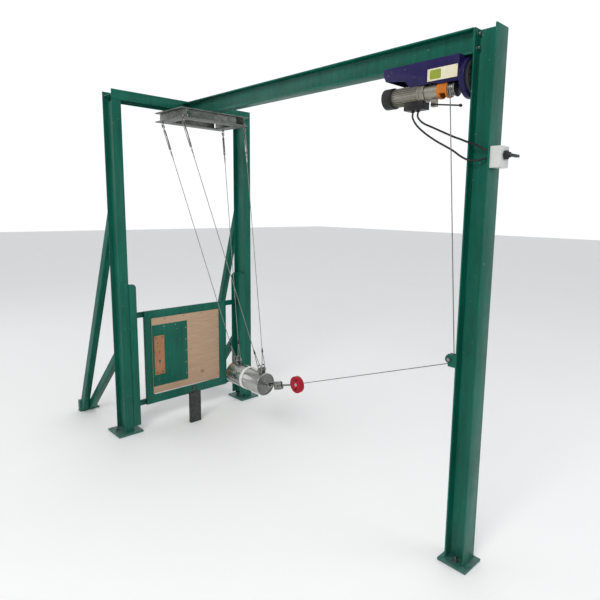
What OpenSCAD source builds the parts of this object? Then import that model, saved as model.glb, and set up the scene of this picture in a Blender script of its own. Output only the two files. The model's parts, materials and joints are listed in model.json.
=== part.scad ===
// Pendulum impact rig: a steel mass on four ropes under an overhead beam, drawn back by a hoist on a mast
// and let go against a test panel that hangs in a portal. Origin: centre of the footprint, on the floor.
// +X runs from the portal to the mast, +Y across the portal, +Z up. All sizes are in millimetres.

/* [Portal] */
// Height of the portal from the floor to its top
portal_h = 3000; // [2600:10:3600]
// Distance between the centres of the two portal posts
post_span = 1330; // [1250:10:1600]
// Depth of the post section along the swing
post_depth = 185; // [150:1:220]
// Flange width of the post section
post_flange = 80; // [60:1:95]
// Thickness of the post's flanges
post_flange_t = 8; // [5:0.5:12]
// Thickness of the post's web
post_web_t = 6; // [4:0.5:10]
// Length of a post's base plate along X
post_plate_l = 250; // [220:5:300]
// Width of a post's base plate along Y
post_plate_w = 225; // [190:5:260]
// Thickness of every base plate
base_t = 15; // [10:1:25]
// Distance between the two anchor holes in a base plate of the posts
post_anchor_pitch = 136; // [120:1:150]
// Radius of every anchor hole
anchor_r = 9; // [6:0.5:12]

/* [Stays and feet] */
// Reach of the stays' feet behind the centre of the portal
foot_reach = 790; // [650:10:950]
// Height at which the long stays meet the posts
stay_top = 1960; // [1500:10:2300]
// Height at which the short struts meet the posts
strut_top = 700; // [500:10:900]
// Outer size of the square tube of stays and struts
stay_tube = 60; // [40:1:70]
// Wall of the square tube
stay_wall = 4; // [2:0.5:6]

/* [Overhead beam and mast] */
// Distance from the centre of the portal to the centre of the mast
bay_length = 3044; // [2800:10:3400]
// Height of the overhead beam's section
beam_h = 126; // [100:1:160]
// Width of the overhead beam's section
beam_w = 105; // [80:1:130]
// Depth of the mast's section along X
mast_depth = 124; // [110:1:160]
// Width of the mast's section along Y
mast_w = 120; // [110:1:160]
// Length of the mast's base plate along X
mast_plate_l = 185; // [165:5:240]
// Width of the mast's base plate along Y
mast_plate_w = 175; // [165:5:240]
// Distance between the two anchor holes beside the mast's web
mast_anchor_pitch = 78; // [60:1:90]

/* [Hanger frame] */
// Height of the hanger frame's section
hanger_h = 80; // [60:1:100]
// Width of the hanger frame's section
hanger_w = 100; // [90:1:120]
// Distance between the centres of the two hanger rails
rail_span = 570; // [500:10:700]
// Distance from the portal's centre to the ropes on the panel's side
first_rope_x = 195; // [180:5:230]
// Distance between the two pairs of ropes
rope_pitch = 340; // [300:5:400]

/* [Pendulum] */
// Height of the mass's axis when it hangs plumb
mass_low = 510; // [508:1:560]
// Angle at which the mass is held back from plumb
pull_back = 17.5; // [12:0.5:20]
// Diameter of the ropes
rope_d = 6; // [4:1:6]
// Diameter of the steel mass
mass_d = 188; // [150:1:200]
// Length of the steel mass
mass_l = 440; // [420:1:520]
// Height of the lug pins above the axis of the mass
lug_rise = 116; // [112:1:130]
// Thickness of a lug
lug_t = 8; // [6:1:10]

/* [Test panel] */
// Outer size of the square panel frame
panel_size = 900; // [800:10:1000]
// Width of the panel frame's members
panel_member = 80; // [60:1:100]
// Thickness of the panel frame and its cross rails
panel_t = 25; // [18:1:30]
// Height of the panel frame's lower edge
panel_low = 190; // [180:5:260]
// Height of a cross rail
rail_h = 50; // [40:1:60]
// Thickness of the plywood
ply_t = 9; // [6:1:12]
// Thickness of the sheet over the plywood
cover_t = 2; // [1:0.5:3]
// Thickness of the lock plate
lock_t = 3; // [2:0.5:4]

/* [Pull line] */
// Height of the sheave's centre
sheave_z = 1208; // [1100:1:1300]
// Radius of the sheave
sheave_r = 30; // [28:1:34]
// Distance from the mass's eye to the centre of the trip weight
weight_reach = 353; // [340:1:420]
// Slope of the line between the mass's eye and the trip weight
low_slope = 16.6; // [14:0.1:19]
// Radius of the trip weight
weight_r = 65; // [45:1:66]
// Thickness of the trip weight's two discs together
weight_t = 28; // [20:1:40]

/* [Hoist] */
// Length of the hoist's housing
housing_l = 489; // [440:1:540]
// Width of the hoist's housing
housing_w = 200; // [180:1:220]
// Height of the hoist's housing
housing_h = 132; // [125:1:150]
// Radius of the end disc
disc_r = 104; // [90:1:108]
// Radius of the motor's shell
motor_r = 52; // [46:1:56]
// Radius of the drum's core
drum_r = 30; // [28:1:34]

/* [Loose block] */
// Height of the standing steel block
block_h = 295; // [250:5:320]
// Thickness of the standing steel block
block_t = 33; // [25:1:45]
// Width of the standing steel block
block_w = 111; // [90:1:130]

/* [Hidden] */
$fn = 48;

// Clearances: sliding and turning metal, seats of fixed curved metal, and margins for cuts
gap = 0.3;
seat = 0.2;
cut = 1;

// Overhead frame
switch_d = 60;
knob_l = 34;
mast_front = mast_depth / 2 + switch_d + knob_l;
x_portal = (foot_reach - bay_length - mast_front) / 2;
x_mast = x_portal + bay_length;
post_y = post_span / 2;
post_top = portal_h - post_flange;
post_face = post_depth / 2;
beam_top = portal_h - 22;
beam_low = beam_top - beam_h;
mast_top = beam_top - 5;
mast_face = mast_depth / 2;
section_t = 8;
web_t = 6;
end_plate_t = 10;
end_bolt_y = 20;
end_bolt_z = 35;

// Stays and feet, front first: where each long stay and each short strut meets the floor
stay_foot_y = [-765, 683];
strut_foot_y = [-695, 757];
stay_foot_x = foot_reach - 55;
stay_foot_z = 30;
foot_l = 60;
foot_back = 5;
foot_t = 12;
foot_inner = 617;
foot_outer = 807;
block_foot_l = 50;
block_foot_h = 100;
block_foot_w = 90;

// Guides and the cross rails that run in them
guide_t = 6;
guide_reach = 65;
guide_low = 60;
guide_high = 1370;
guide_front = post_face + 4.5;
guide_hole_r = 6;
guide_hole_pitch = 60;
panel_face = x_portal;
rail_back = panel_face - 2 * panel_t;
guide_back = rail_back - gap - guide_t;
guide_web_y = post_y - post_flange / 2 - guide_t;
opening = panel_size - 2 * panel_member;

// Hanger frame and rope pivots
hanger_low = beam_low - hanger_h;
rail_y = rail_span / 2;
hang_y = rail_y + 23;
inner_x = x_portal + first_rope_x;
outer_x = inner_x + rope_pitch;
rail_x0 = inner_x - 85;
rail_x1 = outer_x + 25;
cross_x = [rail_x0 + hanger_w / 2, rail_x1 - hanger_w / 2];
eye_wire = 4;
eye_r = 15;
eye_drop = 23.3;
shank_r = 6;
eye_z = hanger_low - eye_drop;
pivot_z = eye_z - eye_r + 2 * eye_wire + gap;
swing_r = pivot_z - lug_rise - mass_low;

// Pendulum at rest, held back at pull_back from plumb
lug_y = 20;
pin_r = 6;
pin_hole_r = 7;
swing_x = swing_r * sin(pull_back);
pin_z = pivot_z - swing_r * cos(pull_back);
splay = atan((hang_y - lug_y) / swing_r);
rope_len = norm([swing_r, hang_y - lug_y]);
mass_z = pin_z - lug_rise;
mass_r = mass_d / 2;
mass_mid = inner_x + swing_x + rope_pitch / 2;
mass_x0 = mass_mid - mass_l / 2;
mass_x1 = mass_mid + mass_l / 2;
mass_wall = 6;
cap_inset = 6;
cap_t = 10;

// Rope fittings, as distances down from the pivot
hook_r = 11;
sleeve_r = 10;
sleeve_bore = 6;
sleeve_top = 45;
sleeve_low = 215;
stud_r = 5;
lower_eye = 290;
rope_r = rope_d / 2;
thimble_r = 16;
thimble_l = 105;
ferrule_r = 8;
ferrule_l = 34;
shackle_wire = 4;
shackle_r = 14;
shackle_rise = 28;
ear_r = 11;
ear_half = 4.6;
pin_over = 18;
sway = 1.5;
loop_low = shackle_rise + shackle_r - shackle_wire - rope_r - gap - sway;
ferrule_top = loop_low + thimble_l + 3 + ferrule_l;
socket_low = lower_eye + 16;

// Pull line
mass_eye_reach = 48;
mass_eye_r = 20;
mass_eye_wire = 6;
mass_eye_x = mass_x1 + mass_eye_reach;
weight_x = mass_eye_x + weight_reach * cos(low_slope);
weight_z = mass_z + weight_reach * sin(low_slope);
sheave_x = x_mast - mast_face - 66;
groove_r = sheave_r - 6;
line_run = norm([sheave_x - weight_x, sheave_z - weight_z]);
line_slope = atan((sheave_z - weight_z) / (sheave_x - weight_x)) - asin(groove_r / line_run);
line_len = sqrt(line_run * line_run - groove_r * groove_r);
wrap_angle = 45;
latch_pin_r = 5;
latch_x = mass_eye_r - mass_eye_wire - latch_pin_r - 3 * gap;
latch_pivot = 86;
release_x0 = 74;
release_x1 = 165;
release_h = 64;
release_w = 24;
release_slot = 12;
link_pin = 152;
link_end = weight_reach - weight_r - 4;

// Hoist
housing_right = x_mast - mast_face - 53;
housing_left = housing_right - housing_l;
housing_t = 3;
housing_low = beam_low - housing_h;
disc_x = housing_right;
disc_t = 31;
disc_z = beam_low - 4 - disc_r;
cap_disc_t = 18;
motor_y = -60;
motor_z = beam_low - 162;
drum_x = x_mast - mast_face - 117;
drum_w = 40;
guard_x = drum_x - 65;
gear_x = guard_x - 80;
flange_t = 30;
motor_x = gear_x - 220;
fan_x = motor_x - 60;
fan_r = 58;
wrap_r = drum_r + 3;
rope_top_y = motor_y - wrap_r - rope_r - rope_r - gap;
lever_x = gear_x + 46;
lever_y = motor_y - 20;
lever_z = motor_z - 68;
lever_l = 177;
lever_slope = 8.8;

// Cables from the terminal box into the mast's pocket, measured from the mast's centre
cable_r = 5.5;
box_low = motor_z - 94;
long_cable = [
    [-414, -65, 2595], [-414, -65, 2568], [-385, -66, 2525], [-330, -64, 2478], [-254, -58, 2428],
    [-159, -54, 2376], [-104, -64, 2342], [-69, -71, 2324], [-50, -68, 2317],
    [-22, -44, 2313], [20, -27, 2321], [52, -26, 2322]];
short_cable = [
    [-379, -65, 2595], [-379, -65, 2568], [-345, -64, 2534], [-279, -58, 2502], [-162, -52, 2448],
    [-104, -64, 2426], [-69, -71, 2412], [-50, -68, 2405],
    [-22, -44, 2392], [20, -27, 2368], [52, -26, 2366]];

// ---------------------------------------------------------------- shared shapes

module i_section(depth, width, flange, web) {
    for (s = [-1, 1])
        translate([s * (depth - flange) / 2, 0]) square([flange, width], center = true);
    square([depth, web], center = true);
}

module box(x0, x1, y0, y1, z0, z1) {
    translate([x0, y0, z0]) cube([x1 - x0, y1 - y0, z1 - z0]);
}

module x_rod(r, x0, x1, y = 0, z = 0) {
    translate([x0, y, z]) rotate([0, 90, 0]) cylinder(r = r, h = x1 - x0);
}

module y_rod(r, y0, y1, x = 0, z = 0) {
    translate([x, y1, z]) rotate([90, 0, 0]) cylinder(r = r, h = y1 - y0);
}

module ring(r, wire) {
    rotate_extrude() translate([r, 0]) circle(r = wire, $fn = 24);
}

// A hexagon head or nut standing on Z = 0
module hex(across, h) {
    cylinder(d = across / cos(30), h = h, $fn = 6);
}

// Turns its children from +Z to the line that runs from p to q, and puts them at p
module along(p, q) {
    d = q - p;
    translate(p) rotate([0, acos(d[2] / norm(d)), atan2(d[1], d[0])]) children();
}

// Places its children in a rope's own frame: origin at the pivot, -Z down the rope
module on_rope(x, side) {
    translate([x, side * hang_y, pivot_z]) rotate([-side * splay, -pull_back, 0]) children();
}

// Places its children at a lug pin, with +Z up the swing
module on_pin(x, side) {
    translate([x + swing_x, side * lug_y, pin_z]) rotate([0, -pull_back, 0]) children();
}

// Places its children on the lower stretch of the pull line, with +X up the line from the mass's eye
module on_low_line() {
    translate([mass_eye_x, 0, mass_z]) rotate([0, -low_slope, 0]) children();
}

// Smooth route through a list of points, and a ring of corners around each point of it
function spline(a, b, c, d, t) =
    0.5 * (2 * b + (c - a) * t + (2 * a - 5 * b + 4 * c - d) * t * t + (3 * b - a - 3 * c + d) * t * t * t);
function at(p, i) = p[max(0, min(len(p) - 1, i))];
function route(p, n) = [
    for (i = [0 : len(p) - 2], k = [0 : n - 1]) spline(at(p, i - 1), p[i], p[i + 1], at(p, i + 2), k / n),
    p[len(p) - 1]];
function unit(v) = v / norm(v);
function heading(p, i) = unit(at(p, i + 1) - at(p, i - 1));

module tube(p, r, sides = 10) {
    corners = [for (i = [0 : len(p) - 1])
        let (t = heading(p, i), n = unit(cross(t, [0, 1, 0])), b = cross(t, n))
        for (k = [0 : sides - 1]) p[i] + r * (cos(360 * k / sides) * n + sin(360 * k / sides) * b)];
    last = (len(p) - 1) * sides;
    faces = concat(
        [[for (k = [0 : sides - 1]) k]],
        [for (i = [0 : len(p) - 2], k = [0 : sides - 1])
            let (a = i * sides + k, b = i * sides + (k + 1) % sides) [a, a + sides, b + sides, b]],
        [[for (k = [sides - 1 : -1 : 0]) last + k]]);
    polyhedron(points = corners, faces = faces, convexity = 4);
}

// ---------------------------------------------------------------- portal, beam and mast

module posts() {
    color("darkslategray")
        for (s = [-1, 1]) translate([x_portal, s * post_y, base_t]) linear_extrude(post_top - base_t)
            i_section(post_depth, post_flange, post_flange_t, post_web_t);
}

module portal_beam() {
    color("darkslategray")
        translate([x_portal, post_y + post_flange / 2, portal_h - post_flange / 2]) rotate([90, 0, 0])
            linear_extrude(post_span + post_flange)
                i_section(post_depth, post_flange, post_flange_t, post_web_t);
}

module overhead_beam() {
    x0 = x_portal + post_face;
    x1 = x_mast - mast_face - end_plate_t;
    color("darkslategray") difference() {
        translate([x0, 0, beam_top - beam_h / 2]) rotate([90, 0, 90]) linear_extrude(x1 - x0)
            rotate(90) i_section(beam_h, beam_w, section_t, web_t);
        at_hanger_bolts() translate([0, 0, section_t - cut])
            cylinder(r = shank_r + seat, h = section_t + 2 * cut);
    }
}

module mast() {
    color("darkslategray") difference() {
        translate([x_mast, 0, base_t]) linear_extrude(mast_top - base_t)
            i_section(mast_depth, mast_w, section_t, web_t);
        end_bolt_bores();
    }
}

module base_plates() {
    color("teal") {
        for (s = [-1, 1]) difference() {
            translate([x_portal - post_plate_l / 2, s * post_y - post_plate_w / 2, 0])
                cube([post_plate_l, post_plate_w, base_t]);
            for (a = [-1, 1])
                translate([x_portal - 35, s * post_y + a * post_anchor_pitch / 2, -cut])
                    cylinder(r = anchor_r, h = base_t + 2 * cut);
        }
        difference() {
            translate([x_mast - mast_plate_l / 2, -mast_plate_w / 2, 0])
                cube([mast_plate_l, mast_plate_w, base_t]);
            for (a = [-1, 1])
                translate([x_mast, a * mast_anchor_pitch / 2, -cut])
                    cylinder(r = anchor_r, h = base_t + 2 * cut);
        }
    }
}

// The four bolts that hold the beam's end plate to the mast
module at_end_bolts() {
    for (sy = [-1, 1], sz = [-1, 1])
        translate([x_mast - mast_face, sy * end_bolt_y, beam_top - beam_h / 2 + sz * end_bolt_z])
            rotate([0, 90, 0]) children();
}

// The bolts that hang the cross members under the beam, from the underside of their upper flange
module at_hanger_bolts() {
    for (x = cross_x, s = [-1, 1])
        translate([x + s * 25, s * beam_w / 4, hanger_low + hanger_h - section_t]) children();
}

module end_bolt_bores() {
    at_end_bolts() translate([0, 0, -end_plate_t - cut])
        cylinder(r = shank_r + seat, h = end_plate_t + section_t + 2 * cut);
}

module beam_end_plate() {
    x1 = x_mast - mast_face;
    color("darkslategray") difference() {
        box(x1 - end_plate_t, x1, -beam_w / 2, beam_w / 2, beam_low, mast_top);
        end_bolt_bores();
    }
}

// Bolts of the end plate and of the hanger frame, and the sheave's pin
module frame_bolts() {
    head_h = 8;
    color("silver") {
        at_end_bolts() {
            translate([0, 0, -end_plate_t - head_h]) hex(19, head_h);
            translate([0, 0, -end_plate_t]) cylinder(r = shank_r, h = end_plate_t + section_t);
            translate([0, 0, section_t]) hex(19, head_h);
        }
        at_hanger_bolts() {
            translate([0, 0, -head_h]) hex(19, head_h);
            cylinder(r = shank_r, h = 2 * section_t);
            translate([0, 0, 2 * section_t]) hex(19, head_h);
        }
        y_rod(shank_r, -19, 19, sheave_x, sheave_z);
        for (s = [-1, 1])
            translate([sheave_x, s * 19, sheave_z]) rotate([s > 0 ? -90 : 90, 0, 0]) hex(19, 6);
    }
}

// ---------------------------------------------------------------- stays, feet and guides

// A square tube from p to q, run on past both ends
module square_tube(p, q) {
    spare = 120;
    along(p, q) translate([0, 0, -spare]) linear_extrude(norm(q - p) + 2 * spare) difference() {
        square(stay_tube, center = true);
        square(stay_tube - 2 * stay_wall, center = true);
    }
}

module foot_block(s) {
    y_outer = s * (foot_outer - 2);
    y_inner = y_outer - s * block_foot_w;
    translate([x_portal - foot_reach + foot_back, min(y_outer, y_inner), foot_t])
        cube([block_foot_l, block_foot_w, block_foot_h]);
}

module back_stays() {
    far = 4000;
    color("darkslategray") for (i = [0, 1], m = [0, 1]) {
        s = 2 * i - 1;
        top = [x_portal - post_face, s * post_y, m == 0 ? stay_top : strut_top];
        foot = [x_portal - stay_foot_x, m == 0 ? stay_foot_y[i] : strut_foot_y[i], stay_foot_z];
        difference() {
            square_tube(foot, top);
            box(x_portal - post_face, x_portal + far, -far, far, 0, far);
            box(x_portal - far, x_portal + far, -far, far, -far, foot_t);
            box(x_portal - far, x_portal - foot_reach + foot_back, -far, far, -far, far);
            foot_block(s);
        }
    }
}

module stay_feet() {
    for (s = [-1, 1]) {
        color("darkslategray")
            box(x_portal - foot_reach, x_portal - foot_reach + foot_l,
                min(s * foot_inner, s * foot_outer), max(s * foot_inner, s * foot_outer), 0, foot_t);
        color("dimgray") foot_block(s);
    }
}

module guide_flange() {
    round_r = 38;
    rotate([90, 0, 90]) linear_extrude(guide_t) difference() {
        square([guide_reach, guide_high - guide_low]);
        translate([guide_reach - round_r, guide_high - guide_low - round_r]) difference() {
            square(round_r + cut);
            circle(r = round_r);
        }
    }
}

// Channels on the inner faces of the posts, in which the panel's cross rails slide up and down
module panel_guides() {
    color("darkslategray") for (s = [-1, 1]) mirror([0, s > 0 ? 1 : 0, 0]) {
        for (x = [guide_back, x_portal + guide_front - guide_t])
            translate([x, -guide_web_y - guide_t, guide_low]) guide_flange();
        difference() {
            box(guide_back, x_portal + guide_front, -guide_web_y - guide_t, -guide_web_y,
                guide_low, guide_high);
            for (z = [480 : guide_hole_pitch : 1260])
                y_rod(guide_hole_r, -guide_web_y - guide_t - cut, -guide_web_y + cut, x_portal + 20, z);
        }
    }
}

// ---------------------------------------------------------------- hanger frame

module hanger_rails() {
    color("gray") for (s = [-1, 1]) difference() {
        translate([rail_x0, s * rail_y, hanger_low + hanger_h / 2]) rotate([90, 0, 90])
            linear_extrude(rail_x1 - rail_x0) rotate(90) i_section(hanger_h, hanger_w, section_t, web_t);
        for (x = [inner_x, outer_x])
            translate([x, s * hang_y, hanger_low - cut])
                cylinder(r = shank_r + seat, h = section_t + 2 * cut);
    }
}

module hanger_cross_members() {
    half = rail_y - hanger_w / 2;
    color("gray") for (x = cross_x) difference() {
        translate([x, half, hanger_low + hanger_h / 2]) rotate([90, 0, 0])
            linear_extrude(2 * half) rotate(90) i_section(hanger_h, hanger_w, section_t, web_t);
        at_hanger_bolts() translate([0, 0, -cut]) cylinder(r = shank_r + seat, h = section_t + 2 * cut);
    }
}

module hanger_eye_bolts() {
    nut_h = 10;
    color("silver") for (x = [inner_x, outer_x], s = [-1, 1]) translate([x, s * hang_y, 0]) {
        translate([0, 0, eye_z]) rotate([90, 0, 0]) ring(eye_r, eye_wire);
        translate([0, 0, eye_z + eye_r]) cylinder(r = shank_r, h = eye_drop - eye_r + section_t + nut_h + 8);
        translate([0, 0, hanger_low - 5]) hex(19, 5);
        translate([0, 0, hanger_low + section_t]) hex(19, nut_h);
    }
}

// ---------------------------------------------------------------- ropes and their fittings

module rope_hook() {
    translate([0, 0, -hook_r]) rotate([0, 90, 0]) ring(hook_r, eye_wire);
    translate([0, 0, -sleeve_top - 45]) cylinder(r = stud_r, h = sleeve_top + 45 - 2 * hook_r);
}

// Teardrop loop of rope whose inner bottom rests under the shackle's bow
module rope_loop() {
    mid = loop_low + thimble_r;
    neck = loop_low + thimble_l;
    translate([0, 0, mid]) rotate([90, 0, 0]) rotate([0, 0, 180]) rotate_extrude(angle = 180)
        translate([thimble_r, 0]) circle(r = rope_r, $fn = 16);
    for (s = [-1, 1]) along([s * thimble_r, 0, mid], [s * rope_r, 0, neck])
        cylinder(r = rope_r, h = norm([thimble_r - rope_r, neck - mid]), $fn = 16);
    translate([0, 0, neck - 3]) cylinder(r1 = ferrule_r - 2, r2 = ferrule_r, h = 6);
    translate([0, 0, neck + 3]) cylinder(r1 = ferrule_r, r2 = rope_r + 1, h = ferrule_l);
}

module rope_pair(x) {
    for (s = [-1, 1]) on_rope(x, s)
        translate([0, 0, -rope_len + ferrule_top])
            cylinder(r = rope_r, h = rope_len - ferrule_top - socket_low, $fn = 24);
}

module rope_ends(x) {
    for (s = [-1, 1]) on_rope(x, s) {
        rope_hook();
        translate([0, 0, -sleeve_low - 15]) cylinder(r = stud_r, h = 60);
        translate([0, 0, -socket_low]) cylinder(r1 = rope_r + 2, r2 = stud_r + 2, h = lower_eye - sleeve_low);
        translate([0, 0, -rope_len]) rope_loop();
    }
}

module shackle() {
    translate([0, 0, shackle_rise]) rotate([0, -90, 180]) rotate([0, 0, -90]) rotate_extrude(angle = 180)
        translate([shackle_r, 0]) circle(r = shackle_wire, $fn = 24);
    for (s = [-1, 1]) {
        translate([0, s * shackle_r, 0]) cylinder(r = shackle_wire, h = shackle_rise, $fn = 24);
        y_rod(ear_r, s * shackle_r - ear_half, s * shackle_r + ear_half);
    }
    y_rod(pin_r, -pin_over, pin_over);
}

module shackle_pair(x) {
    for (s = [-1, 1]) on_pin(x, s) shackle();
}

module sleeve(x, side) {
    color("silver") on_rope(x, side) translate([0, 0, -sleeve_low]) difference() {
        cylinder(r = sleeve_r, h = sleeve_low - sleeve_top);
        translate([0, 0, -cut]) cylinder(r = sleeve_bore, h = sleeve_low - sleeve_top + 2 * cut);
        for (a = [0, 90]) rotate(a) y_rod(4, -20, 20, 0, 85);
    }
}

module inner_ropes() { color("gray") rope_pair(inner_x); }
module outer_ropes() { color("gray") rope_pair(outer_x); }
module inner_rope_ends() { color("dimgray") rope_ends(inner_x); }
module outer_rope_ends() { color("dimgray") rope_ends(outer_x); }
module inner_shackles() { color("silver") shackle_pair(inner_x); }
module outer_shackles() { color("silver") shackle_pair(outer_x); }
module inner_front_sleeve() { sleeve(inner_x, -1); }
module inner_rear_sleeve() { sleeve(inner_x, 1); }
module outer_front_sleeve() { sleeve(outer_x, -1); }
module outer_rear_sleeve() { sleeve(outer_x, 1); }

// ---------------------------------------------------------------- the mass

module mass_shell() {
    color("silver") difference() {
        x_rod(mass_r, mass_x0, mass_x1, 0, mass_z, $fn = 96);
        x_rod(mass_r - mass_wall, mass_x0 - cut, mass_x1 + cut, 0, mass_z, $fn = 96);
    }
}

module mass_end_caps() {
    color("dimgray") {
        x_rod(mass_r - mass_wall, mass_x0 + cap_inset, mass_x0 + cap_inset + cap_t, 0, mass_z, $fn = 96);
        difference() {
            x_rod(mass_r - mass_wall, mass_x1 - cap_inset - cap_t, mass_x1 - cap_inset, 0, mass_z, $fn = 96);
            x_rod(8, mass_x1 - cap_inset - cap_t - cut, mass_x1, 0, mass_z);
        }
    }
}

module mass_ballast() {
    inset = cap_inset + cap_t;
    color("darkgray") difference() {
        x_rod(mass_r - mass_wall - seat, mass_x0 + inset, mass_x1 - inset, 0, mass_z, $fn = 96);
        x_rod(8, mass_x1 - inset - 30, mass_x1, 0, mass_z);
    }
}

module mass_lugs() {
    half = 20;
    color("silver") for (x = [inner_x, outer_x], s = [-1, 1]) difference() {
        union() {
            y_rod(half, s * lug_y - lug_t / 2, s * lug_y + lug_t / 2, x + swing_x, pin_z);
            box(x + swing_x - half, x + swing_x + half, s * lug_y - lug_t / 2, s * lug_y + lug_t / 2,
                mass_z, pin_z);
        }
        y_rod(pin_hole_r, s * lug_y - lug_t, s * lug_y + lug_t, x + swing_x, pin_z);
        x_rod(mass_r, x + swing_x - 2 * half, x + swing_x + 2 * half, 0, mass_z, $fn = 96);
    }
}

module mass_strap() {
    strap_w = 30;
    strap_t = 3;
    color("white") difference() {
        x_rod(mass_r + strap_t, mass_mid - strap_w / 2, mass_mid + strap_w / 2, 0, mass_z, $fn = 96);
        x_rod(mass_r, mass_mid - strap_w, mass_mid + strap_w, 0, mass_z, $fn = 96);
    }
}

module mass_eye() {
    color("silver") {
        translate([mass_eye_x, 0, mass_z]) ring(mass_eye_r, mass_eye_wire);
        x_rod(8 - seat, mass_x1 - cap_inset - cap_t - 25, mass_eye_x - mass_eye_r + 1, 0, mass_z);
        x_rod(16, mass_x1 - cap_inset, mass_x1 + 3, 0, mass_z);
    }
}

// ---------------------------------------------------------------- the pull line

module pull_rope() {
    color("gray") {
        on_low_line() x_rod(rope_r, link_end, weight_reach, $fn = 24);
        translate([weight_x, 0, weight_z]) {
            sphere(r = rope_r + 0.05, $fn = 24);
            rotate([0, -line_slope, 0]) x_rod(rope_r, 0, line_len, $fn = 24);
        }
    }
}

module trip_weight() {
    color("crimson") for (s = [-1, 1]) difference() {
        y_rod(weight_r, min(s * seat, s * weight_t / 2), max(s * seat, s * weight_t / 2), weight_x, weight_z,
            $fn = 72);
        on_low_line() x_rod(rope_r + seat, link_end - 20, weight_reach, $fn = 24);
        translate([weight_x, 0, weight_z]) {
            sphere(r = rope_r + 2 * seat, $fn = 24);
            rotate([0, -line_slope, 0]) x_rod(rope_r + seat, 0, 2 * weight_r, $fn = 24);
        }
        at_trip_bolts() y_rod(4 + seat, -weight_t, weight_t);
    }
}

module at_trip_bolts() {
    for (s = [-1, 1]) translate([weight_x, 0, weight_z + s * 0.55 * weight_r]) children();
}

module release_body() {
    corner = 12;
    half = release_h / 2;
    color("silver") on_low_line() difference() {
        union() {
            box(release_x0, release_x1 - corner, -release_w / 2, release_w / 2, -half, half);
            box(release_x0, release_x1, -release_w / 2, release_w / 2, -half + corner, half - corner);
            for (s = [-1, 1])
                y_rod(corner, -release_w / 2, release_w / 2, release_x1 - corner, s * (half - corner));
        }
        box(release_x0 - cut, latch_pivot + 21, -release_slot / 2, release_slot / 2, -half - cut, half + cut);
        box(link_pin - 15, release_x1 + cut, -5, 5, -half - cut, half + cut);
        y_rod(4, -release_w, release_w, latch_pivot, 0);
        y_rod(4, -release_w, release_w, link_pin, 0);
        y_rod(9, -release_w, release_w, (latch_pivot + link_pin) / 2 + 2, 0);
    }
}

module release_link() {
    bar_h = 16;
    color("silver") on_low_line() {
        difference() {
            union() {
                box(link_pin, link_end - 30, -3, 3, -bar_h / 2, bar_h / 2);
                y_rod(bar_h / 2, -3, 3, link_pin, 0);
            }
            y_rod(4 + seat, -release_w, release_w, link_pin, 0);
        }
        x_rod(8, link_end - 30, link_end);
    }
}

// The latch's pivot, the link's pin and the trip weight's two bolts
module pull_line_pins() {
    color("silver") {
        on_low_line() for (x = [latch_pivot, link_pin]) y_rod(4 - seat / 2, -15, 15, x, 0);
        at_trip_bolts() {
            y_rod(4, -weight_t / 2, weight_t / 2);
            for (s = [-1, 1])
                translate([0, s * weight_t / 2, 0]) rotate([s > 0 ? -90 : 90, 0, 0]) hex(13, 6);
        }
    }
}

// Bar that drops its finger into the mass's eye
module release_latch() {
    half_t = 5;
    bar_z = 18;
    color("dimgray") on_low_line() difference() {
        union() {
            translate([latch_x, 0, -14]) cylinder(r = latch_pin_r, h = bar_z + 14);
            box(latch_x - latch_pin_r, latch_pivot - 4, -half_t, half_t, bar_z - 4, bar_z + 6);
            box(latch_pivot - 9, latch_pivot + 3, -half_t, half_t, 0, bar_z);
            y_rod(9, -half_t, half_t, latch_pivot, 0);
        }
        y_rod(4 + gap / 2, -20, 20, latch_pivot, 0);
    }
}

module sheave_bracket() {
    cheek = 5;
    inner = 10;
    x1 = x_mast - mast_face;
    color("gray") {
        difference() {
            for (s = [-1, 1]) {
                y0 = min(s * inner, s * (inner + cheek));
                box(sheave_x - 8, x1 - 6, y0, y0 + cheek, sheave_z - 43, sheave_z + 32);
                y_rod(22, y0, y0 + cheek, sheave_x - 6, sheave_z);
            }
            y_rod(shank_r + seat, -30, 30, sheave_x, sheave_z);
        }
        box(x1 - 6, x1, -32, 32, sheave_z - 58, sheave_z + 40);
    }
}

module sheave() {
    half = 7;
    bore = shank_r + gap;
    bottom = groove_r - rope_r - gap;
    color("silver") translate([sheave_x, 0, sheave_z]) rotate([90, 0, 0]) rotate_extrude() polygon([
        [bore, -half], [sheave_r, -half], [sheave_r, -half + 2], [bottom, -rope_r - gap],
        [bottom, rope_r + gap], [sheave_r, half - 2], [sheave_r, half], [bore, half]]);
}

module hoist_rope() {
    top = [drum_x + drum_w / 2 - 2, rope_top_y, motor_z];
    low = [sheave_x + groove_r, 0, sheave_z];
    color("gray") {
        along(low, top) cylinder(r = rope_r, h = norm(top - low), $fn = 24);
        translate(low) sphere(r = rope_r + 0.05, $fn = 24);
        translate([sheave_x, 0, sheave_z]) rotate([90, 0, 0]) rotate([0, 0, -wrap_angle])
            rotate_extrude(angle = wrap_angle) translate([groove_r, 0]) circle(r = rope_r, $fn = 24);
    }
}

// ---------------------------------------------------------------- hoist and switch

// Side view of the housing, set in by t from its outer faces; open below
module housing_side(t) {
    step = 0.4 * housing_l;
    polygon([
        [housing_left + t, beam_low - t], [housing_left + t, beam_low - 40],
        [housing_left + 16 + t, beam_low - 70 + (t > 0 ? -cut : 0)],
        [housing_left + step - 49 + t, beam_low - 86 + (t > 0 ? -2 * cut : 0)],
        [housing_left + step + t, housing_low - (t > 0 ? 2 * cut : 0)],
        [housing_right - t, housing_low - (t > 0 ? 2 * cut : 0)], [housing_right - t, beam_low - t]]);
}

module housing_block(t) {
    translate([0, housing_w / 2 - t, 0]) rotate([90, 0, 0]) linear_extrude(housing_w - 2 * t) housing_side(t);
}

module hoist_housing() {
    color("darkslateblue") difference() {
        housing_block(0);
        housing_block(housing_t);
        x_rod(motor_r + 3, motor_x, guard_x, motor_y, motor_z);
    }
}

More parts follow.
